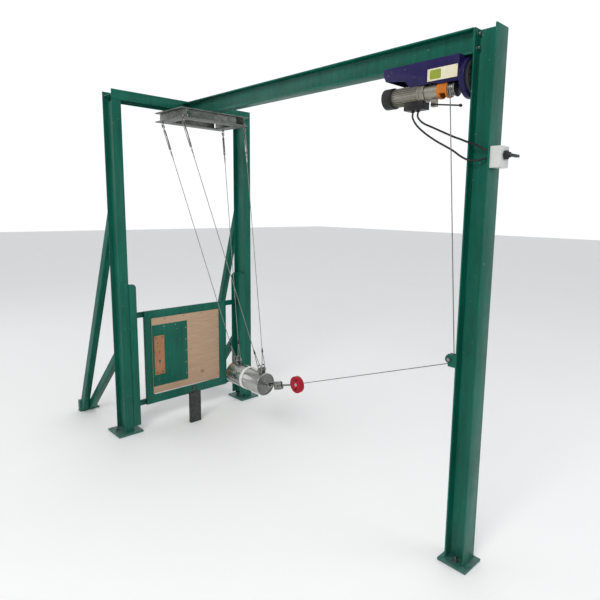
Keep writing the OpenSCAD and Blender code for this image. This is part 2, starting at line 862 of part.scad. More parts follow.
module hoist_end_disc() {
    color("darkslateblue") x_rod(disc_r, disc_x, disc_x + disc_t, 0, disc_z, $fn = 72);
}

module hoist_end_cap() {
    x0 = disc_x + disc_t;
    color("black") difference() {
        x_rod(disc_r - 12, x0, x0 + cap_disc_t, 0, disc_z, $fn = 72);
        for (a = [0 : 30 : 330]) translate([0, 0, disc_z]) rotate([a, 0, 0])
            box(x0 + cap_disc_t - 6, x0 + cap_disc_t + cut, -4, 4, disc_r - 50, disc_r - 24);
    }
}

module hoist_plate() {
    color("khaki") difference() {
        box(housing_right - 188, housing_right - 6, -housing_w / 2 - 2, -housing_w / 2,
            beam_low - 113, beam_low - 50);
        for (x = [housing_right - 182, housing_right - 12], z = [beam_low - 107, beam_low - 56])
            y_rod(2, -housing_w, 0, x, z, $fn = 24);
    }
}

module motor_shell() {
    fin_h = 5;
    shaft_bore = 8 + gap;
    core_bore = 31;
    color("gray") difference() {
        union() {
            x_rod(motor_r - fin_h, motor_x, gear_x - flange_t, motor_y, motor_z);
            for (a = [0 : 15 : 345]) translate([0, motor_y, motor_z]) rotate([a, 0, 0])
                box(motor_x + 12, gear_x - flange_t - 18, -1.5, 1.5, 0, motor_r);
            x_rod(motor_r, gear_x - flange_t - 10, gear_x - flange_t, motor_y, motor_z);
        }
        x_rod(core_bore, motor_x + 10, gear_x - flange_t - 10, motor_y, motor_z);
        x_rod(shaft_bore, motor_x - cut, gear_x - flange_t + cut, motor_y, motor_z);
    }
}

module fan_cover() {
    wall = 2;
    color("black") difference() {
        x_rod(fan_r, fan_x, motor_x, motor_y, motor_z);
        x_rod(fan_r - wall, fan_x + wall, motor_x - wall, motor_y, motor_z);
        x_rod(motor_r - 12, motor_x - 2 * wall, motor_x + cut, motor_y, motor_z);
        for (a = [0 : 30 : 330]) translate([0, motor_y, motor_z]) rotate([a, 0, 0])
            box(fan_x - cut, fan_x + wall + cut, -3, 3, 16, 46);
    }
}

module fan_rotor() {
    shaft_r = 8;
    color("gray") {
        x_rod(shaft_r, fan_x + 8, gear_x - flange_t + 20, motor_y, motor_z);
        x_rod(30, motor_x + 24, gear_x - flange_t - 24, motor_y, motor_z);
        x_rod(14, fan_x + 14, fan_x + 34, motor_y, motor_z);
        for (a = [0 : 60 : 300]) translate([0, motor_y, motor_z]) rotate([a, 0, 0])
            box(fan_x + 14, fan_x + 34, -1.5, 1.5, 0, fan_r - 8);
    }
}

module gear_case() {
    gear_r = 40;
    color("gray") difference() {
        union() {
            x_rod(motor_r - 2, gear_x - flange_t, gear_x, motor_y, motor_z);
            x_rod(gear_r, gear_x, guard_x, motor_y, motor_z);
            box(gear_x + 8, guard_x - 8, motor_y - 14, motor_y + 14, motor_z, beam_low - housing_t);
            box(gear_x + 30, gear_x + 62, motor_y - 12, motor_y + 12, motor_z - 78, motor_z);
        }
        x_rod(8 + gap, gear_x - flange_t - cut, gear_x - flange_t + 24, motor_y, motor_z);
        x_rod(10 + gap, guard_x - 40, guard_x + cut, motor_y, motor_z);
        y_rod(4 + gap, motor_y - 30, motor_y, lever_x, lever_z);
    }
}

module rope_guard() {
    color("darkorange") difference() {
        x_rod(44, guard_x, drum_x - 3, motor_y, motor_z);
        x_rod(38, guard_x + 4, drum_x, motor_y, motor_z);
        x_rod(12, guard_x - cut, drum_x, motor_y, motor_z);
        box(guard_x + 16, drum_x - 15, motor_y - 60, motor_y + 60, motor_z - 60, motor_z - 20);
    }
}

module drum() {
    flange = 4;
    color("silver") {
        x_rod(10, guard_x - 36, drum_x, motor_y, motor_z);
        x_rod(drum_r, drum_x, drum_x + drum_w, motor_y, motor_z);
        for (x = [drum_x, drum_x + drum_w - flange]) x_rod(drum_r + 12, x, x + flange, motor_y, motor_z);
        for (k = [0 : 4]) translate([drum_x + flange + rope_r + 0.4 + k * (rope_d + 0.2), motor_y, motor_z])
            rotate([0, 90, 0]) ring(wrap_r - 0.5, rope_r);
    }
}

module terminal_box() {
    x0 = motor_x + 86;
    x1 = gear_x - 6;
    color("black") difference() {
        union() {
            box(x0, x1, motor_y - 34, motor_y + 30, box_low + 10, motor_z - 36);
            for (dx = [long_cable[0][0], short_cable[0][0]])
                translate([x_mast + dx, long_cable[0][1], box_low]) cylinder(r = 10, h = 12);
        }
        x_rod(motor_r + seat, motor_x - cut, gear_x + cut, motor_y, motor_z);
    }
}

module limit_lever() {
    color("dimgray") {
        y_rod(4, motor_y - 28, motor_y - 3, lever_x, lever_z);
        translate([lever_x, lever_y - 3, lever_z]) rotate([0, lever_slope, 0]) {
            y_rod(8, -3, 3);
            box(0, lever_l, -3, 3, -4, 4);
            y_rod(8, -6, 6, lever_l, 0);
        }
    }
}

module switch_box() {
    x0 = x_mast + mast_face;
    color("lightgray") difference() {
        box(x0, x0 + switch_d, -54, 34, 2272, 2380);
        x_rod(6 + gap, x0 + switch_d - 20, x0 + switch_d + cut, -10, 2335);
    }
}

module selector_knob() {
    x0 = x_mast + mast_face + switch_d;
    color("black") {
        x_rod(6, x0 - 18, x0 + 2, -10, 2335);
        x_rod(23, x0 + gap, x0 + 16, -10, 2335);
        x_rod(14, x0 + 16, x0 + knob_l - 4, -10, 2335);
        box(x0 + 16, x0 + knob_l, -28, 85, 2328, 2342);
    }
}

module motor_cables() {
    color("black") for (p = [long_cable, short_cable])
        tube(route([for (q = p) [x_mast + q[0], q[1], q[2]]], 3), cable_r);
}

// ---------------------------------------------------------------- loose block

module standing_block() {
    x0 = x_portal + 221;
    y0 = -135;
    loop_r = 25;
    loop_wire = 6;
    color("dimgray") box(x0, x0 + block_t, y0, y0 + block_w, 0, block_h);
    color("silver") translate([x0 + block_t / 2, y0 + block_w / 2, block_h]) {
        translate([0, 0, loop_r + loop_wire + 3]) rotate([0, 90, 0]) ring(loop_r, loop_wire);
        cylinder(r = 10, h = 6);
    }
}

// ---------------------------------------------------------------- test panel

// A plate on the panel's front, from x0, t thick, between two corners given as [Y, Z above the frame]
module front_plate(x0, t, a, b) {
    translate([panel_face + x0, a[0], panel_low + a[1]]) cube([t, b[0] - a[0], b[1] - a[1]]);
}

module cross_rails() {
    half = guide_web_y - gap;
    color("darkslategray") for (z = [panel_low, panel_low + panel_size - 57])
        box(rail_back, panel_face - panel_t, -half, half, z, z + rail_h);
}

module panel_frame() {
    half = panel_size / 2;
    color("darkslategray") difference() {
        front_plate(-panel_t, panel_t, [-half, 0], [half, panel_size]);
        front_plate(-panel_t - cut, panel_t + 2 * cut, [-opening / 2, panel_member],
            [opening / 2, panel_size - panel_member]);
    }
}

module plywood_sheet() {
    color("tan")
        front_plate(0, ply_t, [-opening / 2 - 12, panel_member + 17], [opening / 2 - 18, panel_size - 73]);
}

module cover_sheet() {
    color("dimgray") front_plate(ply_t, cover_t, [-opening / 2 - 12, 165], [-15, 760]);
}

module lock_plate() {
    x0 = ply_t + cover_t;
    mid = -opening / 2 + 57;
    color("sienna") difference() {
        front_plate(x0, lock_t, [mid - 51, 277], [mid + 51, 655]);
        translate([panel_face, mid, panel_low]) {
            x_rod(11, x0 - cut, x0 + lock_t + cut, 0, 410);
            box(x0 - cut, x0 + lock_t + cut, -5, 5, 382, 410);
            for (h = [550, 580], s = [-1, 1]) x_rod(5, x0 - cut, x0 + lock_t + cut, s * 20, h);
        }
    }
}

// Rivets of the cover sheet and screws of the plywood, as round heads
module panel_fasteners() {
    head_t = 2.5;
    color("silver") {
        for (z = [230 : 115 : 690]) dome(ply_t + cover_t, -32, panel_low + z, 6, head_t);
        for (y = [-260, -140]) dome(ply_t + cover_t, y, panel_low + 738, 6, head_t);
        for (z = [130 : 110 : 790]) dome(ply_t, opening / 2 - 34, panel_low + z, 5, head_t);
    }
}

module dome(x, y, z, r, h) {
    x_rod(r, panel_face + x, panel_face + x + h, y, z, $fn = 24);
}

posts();
portal_beam();
overhead_beam();
mast();
base_plates();
beam_end_plate();
frame_bolts();
back_stays();
stay_feet();
panel_guides();
hanger_rails();
hanger_cross_members();
hanger_eye_bolts();
sheave_bracket();
hoist_rope();
hoist_housing();
hoist_end_disc();
hoist_end_cap();
hoist_plate();
motor_shell();
fan_cover();
gear_case();
rope_guard();
terminal_box();
switch_box();
motor_cables();
standing_block();
cross_rails();
panel_frame();
plywood_sheet();
cover_sheet();
lock_plate();
panel_fasteners();
inner_ropes();
inner_rope_ends();
inner_shackles();
outer_ropes();
outer_rope_ends();
outer_shackles();
inner_front_sleeve();
inner_rear_sleeve();
outer_front_sleeve();
outer_rear_sleeve();
mass_shell();
mass_end_caps();
mass_ballast();
mass_lugs();
mass_strap();
mass_eye();
pull_rope();
release_body();
release_link();
trip_weight();
pull_line_pins();
release_latch();
sheave();
drum();
fan_rotor();
limit_lever();
selector_knob();
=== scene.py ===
"""Pendulum impact rig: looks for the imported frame. Metres, +Z up, portal at -X, mast at +X."""
import json
import math

import bmesh
import bpy
from mathutils import Matrix, Vector


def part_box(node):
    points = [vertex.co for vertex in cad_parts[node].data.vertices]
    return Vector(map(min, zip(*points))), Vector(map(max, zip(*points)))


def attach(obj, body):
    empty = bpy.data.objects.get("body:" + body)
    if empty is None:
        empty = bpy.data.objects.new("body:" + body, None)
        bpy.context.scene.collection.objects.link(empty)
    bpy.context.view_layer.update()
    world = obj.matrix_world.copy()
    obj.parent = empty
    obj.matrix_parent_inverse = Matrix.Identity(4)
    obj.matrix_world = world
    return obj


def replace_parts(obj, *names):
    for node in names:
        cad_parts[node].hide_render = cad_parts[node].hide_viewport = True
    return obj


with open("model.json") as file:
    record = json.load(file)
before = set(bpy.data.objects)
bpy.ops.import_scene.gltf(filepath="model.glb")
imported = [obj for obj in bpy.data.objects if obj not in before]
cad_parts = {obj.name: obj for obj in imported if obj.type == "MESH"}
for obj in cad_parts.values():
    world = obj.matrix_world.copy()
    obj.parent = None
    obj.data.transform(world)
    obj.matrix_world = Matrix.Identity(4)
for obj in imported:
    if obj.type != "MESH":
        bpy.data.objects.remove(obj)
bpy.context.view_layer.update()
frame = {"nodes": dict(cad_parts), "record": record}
MM = 0.001


# ------------------------------------------------------------------ shading helpers

class Shader:
    """A material's node tree, with one short method for each kind of node that the finishes use."""

    def __init__(self, name, **sockets):
        self.material = bpy.data.materials.new(name)
        self.material.use_nodes = True
        self.tree = self.material.node_tree
        self.bsdf = self.tree.nodes["Principled BSDF"]
        for key, value in sockets.items():
            self.bsdf.inputs[key.replace("_", " ")].default_value = value
        self.object = self.node("ShaderNodeTexCoord").outputs["Object"]

    def node(self, kind, **settings):
        made = self.tree.nodes.new(kind)
        for key, value in settings.items():
            setattr(made, key, value)
        return made

    def feed(self, socket, value):
        if isinstance(value, bpy.types.NodeSocket):
            self.tree.links.new(value, socket)
        else:
            socket.default_value = value

    def stretched(self, scale, turn=(0, 0, 0), centre=(0, 0, 0)):
        mapping = self.node("ShaderNodeMapping")
        self.feed(mapping.inputs["Vector"], self.object)
        mapping.inputs["Scale"].default_value = scale
        mapping.inputs["Rotation"].default_value = turn
        mapping.inputs["Location"].default_value = centre
        return mapping.outputs["Vector"]

    def noise(self, scale, detail=4, rough=0.55, vector=None, distortion=0):
        made = self.node("ShaderNodeTexNoise")
        self.feed(made.inputs["Vector"], vector or self.object)
        made.inputs["Scale"].default_value = scale
        made.inputs["Detail"].default_value = detail
        made.inputs["Roughness"].default_value = rough
        made.inputs["Distortion"].default_value = distortion
        return made.outputs["Fac"]

    def cells(self, scale, vector=None):
        made = self.node("ShaderNodeTexVoronoi")
        self.feed(made.inputs["Vector"], vector or self.object)
        made.inputs["Scale"].default_value = scale
        return made.outputs["Distance"]

    def wave(self, scale, vector=None, distortion=0, kind="BANDS", direction="X", detail=2):
        made = self.node("ShaderNodeTexWave", wave_type=kind)
        if kind == "BANDS":
            made.bands_direction = direction
        else:
            made.rings_direction = direction
        self.feed(made.inputs["Vector"], vector or self.object)
        made.inputs["Scale"].default_value = scale
        made.inputs["Distortion"].default_value = distortion
        made.inputs["Detail"].default_value = detail
        return made.outputs["Fac"]

    def span(self, value, low, high, to_low=0.0, to_high=1.0):
        made = self.node("ShaderNodeMapRange")
        self.feed(made.inputs["Value"], value)
        for key, number in (("From Min", low), ("From Max", high), ("To Min", to_low), ("To Max", to_high)):
            made.inputs[key].default_value = number
        return made.outputs["Result"]

    def mix(self, amount, a, b):
        made = self.node("ShaderNodeMix", data_type="RGBA")
        self.feed(made.inputs[0], amount)
        for socket, value in ((made.inputs[6], a), (made.inputs[7], b)):
            self.feed(socket, value if isinstance(value, bpy.types.NodeSocket) else (*value, 1))
        return made.outputs[2]

    def sum(self, a, b, how="ADD"):
        made = self.node("ShaderNodeMath", operation=how)
        self.feed(made.inputs[0], a)
        self.feed(made.inputs[1], b)
        return made.outputs[0]

    def part(self, axis):
        made = self.node("ShaderNodeSeparateXYZ")
        self.feed(made.inputs[0], self.object)
        return made.outputs[axis]

    def bump(self, height, strength, depth=0.001):
        made = self.node("ShaderNodeBump")
        made.inputs["Strength"].default_value = strength
        made.inputs["Distance"].default_value = depth
        self.feed(made.inputs["Height"], height)
        self.feed(self.bsdf.inputs["Normal"], made.outputs["Normal"])

    def done(self, color=None, rough=None, metal=None):
        for key, value in (("Base Color", color), ("Roughness", rough), ("Metallic", metal)):
            if value is not None:
                self.feed(self.bsdf.inputs[key], value)
        return self.material


# ------------------------------------------------------------------ finishes

def enamel(name, deep, mid, worn, gloss=0.36, orange_peel=0.12, dust=0.12):
    """Brushed-on enamel: cloudy tone, fine runs, rubbed patches, small chips and floor dust low down."""
    s = Shader(name, Coat_Weight=0.04, Coat_Roughness=0.2, Specular_IOR_Level=0.18)
    cloud = s.noise(1.7, 5, 0.6)
    runs = s.noise(9, 5, 0.6, s.stretched((3.2, 3.2, 0.35)))
    tone = s.mix(s.span(s.sum(cloud, runs), 0.75, 1.25), deep, mid)
    rubbed = s.span(s.noise(23, 8, 0.7), 0.62, 0.72)
    tone = s.mix(s.sum(rubbed, 0.3, "MULTIPLY"), tone, worn)
    chips = s.span(s.noise(85, 3, 0.5), 0.735, 0.75)
    tone = s.mix(chips, tone, (0.32, 0.33, 0.30))
    low = s.span(s.part(2), 0.0, 0.35, dust, 0.0)
    dusty = s.sum(low, s.span(s.noise(14, 6, 0.65), 0.35, 0.75), "MULTIPLY")
    tone = s.mix(dusty, tone, (0.30, 0.31, 0.27))
    worn_gloss = s.span(s.noise(6, 6, 0.6), 0.3, 0.7, gloss - 0.06, gloss + 0.12)
    rough = s.sum(worn_gloss, s.sum(dusty, 0.5, "MULTIPLY"))
    s.bump(s.sum(s.noise(240, 2, 0.5), s.sum(runs, 0.6, "MULTIPLY")), orange_peel, 0.0008)
    return s.done(tone, rough)


def zinc_spangle(name, dark, light):
    """Hot-dip galvanised steel: flat crystal patches with a dull, slightly streaked skin."""
    s = Shader(name, Metallic=0.75)
    patches = s.node("ShaderNodeTexVoronoi")
    s.feed(patches.inputs["Vector"], s.object)
    patches.inputs["Scale"].default_value = 70
    tone = s.mix(s.span(patches.outputs["Color"], 0.1, 0.9), dark, light)
    streak = s.span(s.noise(12, 6, 0.65), 0.4, 0.8)
    tone = s.mix(s.sum(streak, 0.4, "MULTIPLY"), tone, (0.19, 0.2, 0.19))
    s.bump(s.noise(160, 3, 0.5), 0.1, 0.0006)
    return s.done(tone, s.span(s.noise(30, 4, 0.5), 0.3, 0.7, 0.38, 0.6))


def machined(name, dark, light, rough=0.28, turn=(1, 1, 1), metallic=1.0, grain=260):
    """Bare machined steel: fine tool lines along one direction, with stains and finger marks."""
    s = Shader(name, Metallic=metallic)
    lines = s.noise(grain, 3, 0.6, s.stretched(turn))
    stain = s.span(s.noise(11, 7, 0.7), 0.45, 0.8)
    tone = s.mix(s.span(lines, 0.3, 0.7), dark, light)
    tone = s.mix(s.sum(stain, 0.35, "MULTIPLY"), tone, tuple(0.45 * c for c in dark))
    rough_out = s.sum(s.span(lines, 0.3, 0.7, rough - 0.05, rough + 0.09), s.sum(stain, 0.14, "MULTIPLY"))
    s.bump(lines, 0.07, 0.0004)
    return s.done(tone, rough_out)


def polished_tube(name):
    """Polished stainless tube: bright, with long faint draw lines, handling haze and small dents."""
    s = Shader(name, Metallic=1.0)
    lines = s.noise(120, 3, 0.6, s.stretched((0.15, 1, 1)))
    haze = s.span(s.noise(7, 7, 0.7), 0.42, 0.78)
    tone = s.mix(s.span(lines, 0.3, 0.7), (0.34, 0.345, 0.33), (0.54, 0.54, 0.52))
    tone = s.mix(s.sum(haze, 0.3, "MULTIPLY"), tone, (0.26, 0.26, 0.24))
    dents = s.noise(16, 2, 0.5)
    s.bump(s.sum(s.sum(lines, 0.15, "MULTIPLY"), dents), 0.035, 0.0012)
    return s.done(tone, s.sum(s.span(lines, 0.3, 0.7, 0.15, 0.24), s.sum(haze, 0.14, "MULTIPLY")))


def dark_cast(name, dark, light, rough=0.55, metallic=0.35):
    """Dark oiled or as-cast steel with mill scale and rust freckles."""
    s = Shader(name, Metallic=metallic, Specular_IOR_Level=0.25)
    scale = s.noise(34, 7, 0.7)
    tone = s.mix(s.span(scale, 0.35, 0.7), dark, light)
    tone = s.mix(s.sum(s.span(s.noise(90, 4, 0.6), 0.64, 0.74), 0.5, "MULTIPLY"), tone, (0.2, 0.1, 0.05))
    s.bump(s.noise(130, 5, 0.6), 0.25, 0.001)
    return s.done(tone, s.span(scale, 0.3, 0.75, rough - 0.15, rough + 0.15))


def moulded(name, dark, light, rough=0.5, grain=420, coat=0.0):
    """Moulded plastic or rubber: fine pebble grain, dusty in patches."""
    s = Shader(name, Coat_Weight=coat, Specular_IOR_Level=0.22)
    tone = s.mix(s.span(s.noise(9, 6, 0.65), 0.35, 0.75), dark, light)
    s.bump(s.cells(grain), 0.14, 0.0005)
    return s.done(tone, s.span(s.noise(25, 5, 0.6), 0.3, 0.7, rough - 0.08, rough + 0.1))


def webbing(name):
    """White woven band: diagonal weave with grubby edges."""
    s = Shader(name, Sheen_Weight=0.3)
    weft = s.wave(420, direction="X")
    warp = s.wave(300, direction="Z")
    weave = s.sum(weft, warp, "MULTIPLY")
    tone = s.mix(s.span(s.noise(30, 6, 0.7), 0.45, 0.75), (0.78, 0.78, 0.74), (0.5, 0.49, 0.44))
    s.bump(weave, 0.4, 0.0006)
    return s.done(tone, s.span(weave, 0, 1, 0.7, 0.9))


def plywood(name):
    """Birch-faced plywood: long wavering grain across the sheet, with a few knots."""
    s = Shader(name, Coat_Weight=0.08, Coat_Roughness=0.35)
    sheet = s.stretched((1, 0.55, 3.4))
    grain = s.noise(9, 9, 0.68, sheet, 1.4)
    fibre = s.noise(70, 5, 0.65, s.stretched((1, 0.4, 6)))
    flame = s.wave(5.5, s.stretched((0, 0.35, 2.2)), 9, direction="Z", detail=3)
    tone = s.mix(s.span(grain, 0.2, 0.85), (0.38, 0.235, 0.145), (0.52, 0.36, 0.235))
    tone = s.mix(s.sum(s.span(flame, 0.6, 1.0), 0.16, "MULTIPLY"), tone, (0.3, 0.175, 0.1))
    tone = s.mix(s.sum(s.span(fibre, 0.5, 0.8), 0.16, "MULTIPLY"), tone, (0.24, 0.14, 0.08))
    knot = s.node("ShaderNodeTexVoronoi")
    s.feed(knot.inputs["Vector"], s.stretched((0, 1, 1.25), centre=(0, 0.13, 0.07)))
    knot.inputs["Scale"].default_value = 4.6
    eye = s.span(knot.outputs["Distance"], 0.03, 0.13, 1.0, 0.0)
    tone = s.mix(s.sum(eye, 0.75, "MULTIPLY"), tone, (0.13, 0.065, 0.035))
    s.bump(s.sum(fibre, grain), 0.3, 0.0008)
    return s.done(tone, s.span(grain, 0.3, 0.7, 0.42, 0.62))


def ply_edge(name):
    """Cut edge of the plywood: thin plies, light and dark in turn."""
    s = Shader(name)
    plies = s.wave(330, direction="X", distortion=0.4)
    fibre = s.noise(60, 5, 0.6)
    tone = s.mix(s.span(plies, 0.35, 0.65), (0.34, 0.2, 0.11), (0.74, 0.58, 0.4))
    tone = s.mix(s.sum(s.span(fibre, 0.5, 0.8), 0.35, "MULTIPLY"), tone, (0.2, 0.12, 0.07))
    s.bump(fibre, 0.3, 0.0006)
    return s.done(tone, 0.7)


def floor_finish(name):
    s = Shader(name)
    tone = s.mix(s.span(s.noise(0.8, 5, 0.6), 0.3, 0.7), (0.955, 0.955, 0.95), (0.975, 0.975, 0.97))
    return s.done(tone, 0.65)


GREEN = enamel("frame_green", (0.002, 0.078, 0.05), (0.004, 0.125, 0.085), (0.02, 0.19, 0.14))
TEAL = enamel("plate_green", (0.008, 0.085, 0.068), (0.02, 0.14, 0.112), (0.1, 0.24, 0.2), dust=0.3)
FINISH = {
    "frame_paint": GREEN,
    "plate_paint": TEAL,
    "zinc": machined("zinc_plate", (0.2, 0.2, 0.19), (0.42, 0.42, 0.4), 0.34),
    "galvanised": zinc_spangle("galvanised_steel", (0.13, 0.145, 0.13), (0.22, 0.235, 0.215)),
    "wire_rope": machined("rope_wire", (0.16, 0.16, 0.15), (0.36, 0.36, 0.34), 0.36, grain=900),
    "black_fittings": dark_cast("black_fittings", (0.012, 0.012, 0.012), (0.05, 0.05, 0.05), 0.42, 0.5),
    "bright_steel": machined("bright_steel", (0.17, 0.17, 0.16), (0.42, 0.42, 0.4), 0.3),
    "polished_steel": polished_tube("polished_steel"),
    "dark_steel": dark_cast("dark_steel", (0.022, 0.023, 0.022), (0.085, 0.088, 0.085)),
    "white_band": webbing("white_band"),
    "hoist_paint": enamel("hoist_indigo", (0.01, 0.007, 0.05), (0.017, 0.012, 0.085), (0.04, 0.034, 0.15),
                          gloss=0.34, dust=0),
    "black_plastic": moulded("black_plastic", (0.011, 0.011, 0.012), (0.035, 0.035, 0.037), 0.4),
    "plate_cream": moulded("cream_plate", (0.62, 0.58, 0.4), (0.72, 0.69, 0.52), 0.35, coat=0.3),
    "motor_grey": machined("motor_grey", (0.2, 0.185, 0.155), (0.4, 0.38, 0.33), 0.34, metallic=0.85),
    "guard_orange": enamel("guard_orange", (0.42, 0.11, 0.01), (0.6, 0.2, 0.03), (0.75, 0.36, 0.1), dust=0),
    "weight_red": enamel("weight_red", (0.26, 0.002, 0.01), (0.4, 0.004, 0.022), (0.5, 0.04, 0.06), dust=0),
    "switch_grey": moulded("switch_grey", (0.52, 0.53, 0.52), (0.63, 0.64, 0.63), 0.35, coat=0.2),
    "cable_rubber": moulded("cable_rubber", (0.012, 0.012, 0.012), (0.04, 0.04, 0.04), 0.55),
    "plywood": plywood("plywood_face"),
    "copper_brown": machined("copper_brown", (0.33, 0.14, 0.07), (0.5, 0.24, 0.12), 0.34, (1, 1, 0.12),
                             metallic=0.55),
}
PLY_EDGE = ply_edge("plywood_edge")
OLIVE = enamel("olive_patch", (0.2, 0.25, 0.03), (0.3, 0.36, 0.05), (0.36, 0.42, 0.1), dust=0)
WHITE_METAL = machined("pale_sleeve", (0.36, 0.37, 0.35), (0.6, 0.6, 0.58), 0.4, metallic=0.7)
DARK_FACE = machined("brushed_face", (0.13, 0.135, 0.125), (0.26, 0.265, 0.25), 0.36)

SLOT = {row["node"]: row["material_slot"] for row in frame["record"]["subparts"]}
BODY = {node: body for body, nodes in frame["record"]["behaviour"]["bodies"].items() for node in nodes}


# ------------------------------------------------------------------ mesh helpers

def mesh_piece(name, bm, body, slot, material=None, smooth_angle=35):
    """Turns a bmesh into a piece that rides on a body and takes a slot's finish."""
    mesh = bpy.data.meshes.new(name)
    bm.to_mesh(mesh)
    bm.free()
    piece = bpy.data.objects.new(name, mesh)
    bpy.context.scene.collection.objects.link(piece)
    return dress(piece, body, slot, material, smooth_angle)


def dress(piece, body, slot, material=None, smooth_angle=35):
    mesh = piece.data
    if not mesh.materials:
        mesh.materials.append(material or FINISH[slot])
    mesh.set_sharp_from_angle(angle=math.radians(smooth_angle))
    for polygon in mesh.polygons:
        polygon.use_smooth = True
    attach(piece, body)
    return piece


def merged_copy(node):
    """A CAD node's own faces as a closed bmesh, with flat areas joined."""
    bm = bmesh.new()
    bm.from_mesh(frame["nodes"][node].data)
    bmesh.ops.remove_doubles(bm, verts=bm.verts, dist=1e-5)
    bmesh.ops.dissolve_limit(bm, angle_limit=math.radians(0.6), verts=bm.verts, edges=bm.edges)
    return bm


def apply_modifiers(piece):
    """Replaces a piece's mesh with the evaluated one and takes the modifiers off."""
    graph = bpy.context.evaluated_depsgraph_get()
    made = bpy.data.meshes.new_from_object(piece.evaluated_get(graph))
    old = piece.data
    piece.modifiers.clear()
    piece.data = made
    bpy.data.meshes.remove(old)
    return piece


OTHER_SLOT = {"sheave_bracket": "frame_paint", "pull_line_pins": "black_fittings"}


def eased(node, width, segments=2, name=None):
    """The CAD node again with its edges eased and its inner corners filleted by width."""
    piece = bpy.data.objects.new(name or "eased_" + node, bpy.data.meshes.new(node + "_eased"))
    bpy.context.scene.collection.objects.link(piece)
    bm = merged_copy(node)
    bm.to_mesh(piece.data)
    bm.free()
    bevel = piece.modifiers.new("ease", "BEVEL")
    bevel.width = width
    bevel.segments = segments
    bevel.limit_method = "ANGLE"
    bevel.angle_limit = math.radians(40)
    bevel.harden_normals = False
    apply_modifiers(piece)
    dress(piece, BODY[node], OTHER_SLOT.get(node, SLOT[node]))
    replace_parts(piece, node)
    return piece


EASE_MM = {
    "posts": 3, "portal_beam": 3, "overhead_beam": 3, "mast": 3, "base_plates": 2, "beam_end_plate": 1.5,
    "back_stays": 3, "stay_feet": 3, "panel_guides": 1.5, "hanger_rails": 2.5, "hanger_cross_members": 2.5,
    "cross_rails": 3, "panel_frame": 3, "cover_sheet": 0.5, "lock_plate": 0.6, "standing_block": 1.5,
    "frame_bolts": 0.8, "sheave_bracket": 1, "switch_box": 5, "selector_knob": 2, "terminal_box": 3,
    "gear_case": 2.5, "rope_guard": 1, "release_body": 1.5, "release_link": 1, "release_latch": 1,
    "mass_lugs": 1, "limit_lever": 0.8, "pull_line_pins": 0.6,
    "plywood_sheet": 0.6, "hoist_plate": 0.4, "hoist_housing": 3, "hoist_end_disc": 3, "hoist_end_cap": 2,
    "motor_shell": 0.7, "fan_cover": 1.5, "trip_weight": 1.5, "sheave": 0.6, "drum": 0.8, "fan_rotor": 0.6,
    "inner_front_sleeve": 0.8, "inner_rear_sleeve": 0.8, "outer_front_sleeve": 0.8, "outer_rear_sleeve": 0.8,
    "mass_strap": 0.8, "mass_ballast": 1, "panel_fasteners": 0.5,
}
for node, millimetres in EASE_MM.items():
    eased(node, millimetres * MM)

# The CAD nodes that stay as they are get their finish
for node, piece in frame["nodes"].items():
    piece.data.materials.clear()
    piece.data.materials.append(FINISH[SLOT[node]])


# ------------------------------------------------------------------ turned and swept pieces

def lathe(outline, axis, origin, segments=96, closed=False):
    """Turns an outline of (along, out) pairs about an axis through origin."""
    turn = Vector((1, 0, 0)).rotation_difference(Vector(axis)).to_matrix()
    bm = bmesh.new()
    rows = []
    for along, out in outline:
        if out < 1e-6:
            rows.append([bm.verts.new(turn @ Vector((along, 0, 0)) + origin)])
            continue
        angles = [2 * math.pi * k / segments for k in range(segments)]
        rows.append([bm.verts.new(turn @ Vector((along, out * math.cos(a), out * math.sin(a))) + origin)
                     for a in angles])
    pairs = list(zip(rows, rows[1:]))
    if closed:
        pairs.append((rows[-1], rows[0]))
    for a, b in pairs:
        for k in range(segments):
            n = (k + 1) % segments
            if len(a) == 1 and len(b) == 1:
                break
            if len(a) == 1:
                bm.faces.new((a[0], b[n], b[k]))
            elif len(b) == 1:
                bm.faces.new((a[k], a[n], b[0]))
            else:
                bm.faces.new((a[k], a[n], b[n], b[k]))
    bmesh.ops.recalc_face_normals(bm, faces=bm.faces)
    return bm


def add_bm(target, source):
    """Adds one bmesh's faces to another and frees the source."""
    mesh = bpy.data.meshes.new("part")
    source.to_mesh(mesh)
    source.free()
    target.from_mesh(mesh)
    bpy.data.meshes.remove(mesh)
    return target


def swept_tube(points, radius, sides=16):
    """Closed round tube along a list of points."""
    bm = bmesh.new()
    rings = []
    side = Vector((0, 1, 0))
    for i, point in enumerate(points):
        ahead = (points[min(i + 1, len(points) - 1)] - points[max(i - 1, 0)]).normalized()
        side = (side - ahead * side.dot(ahead)).normalized()
        up = ahead.cross(side)
        angles = [2 * math.pi * k / sides for k in range(sides)]
        rings.append([bm.verts.new(point + radius * (math.cos(a) * side + math.sin(a) * up)) for a in angles])
    for a, b in zip(rings, rings[1:]):
        for k in range(sides):
            n = (k + 1) % sides
            bm.faces.new((a[k], a[n], b[n], b[k]))
    bm.faces.new(list(reversed(rings[0])))
    bm.faces.new(rings[-1])
    bmesh.ops.recalc_face_normals(bm, faces=bm.faces)
    return bm


def spline(points, steps=8):
    """Smooth route through the points."""
    routed = []
    for i in range(len(points) - 1):
        a, b = points[max(i - 1, 0)], points[i]
        c, d = points[i + 1], points[min(i + 2, len(points) - 1)]
        for k in range(steps):
            t = k / steps
            routed.append(0.5 * (2 * b + (c - a) * t + (2 * a - 5 * b + 4 * c - d) * t ** 2
                                 + (3 * b - a - 3 * c + d) * t ** 3))
    return routed + [points[-1]]


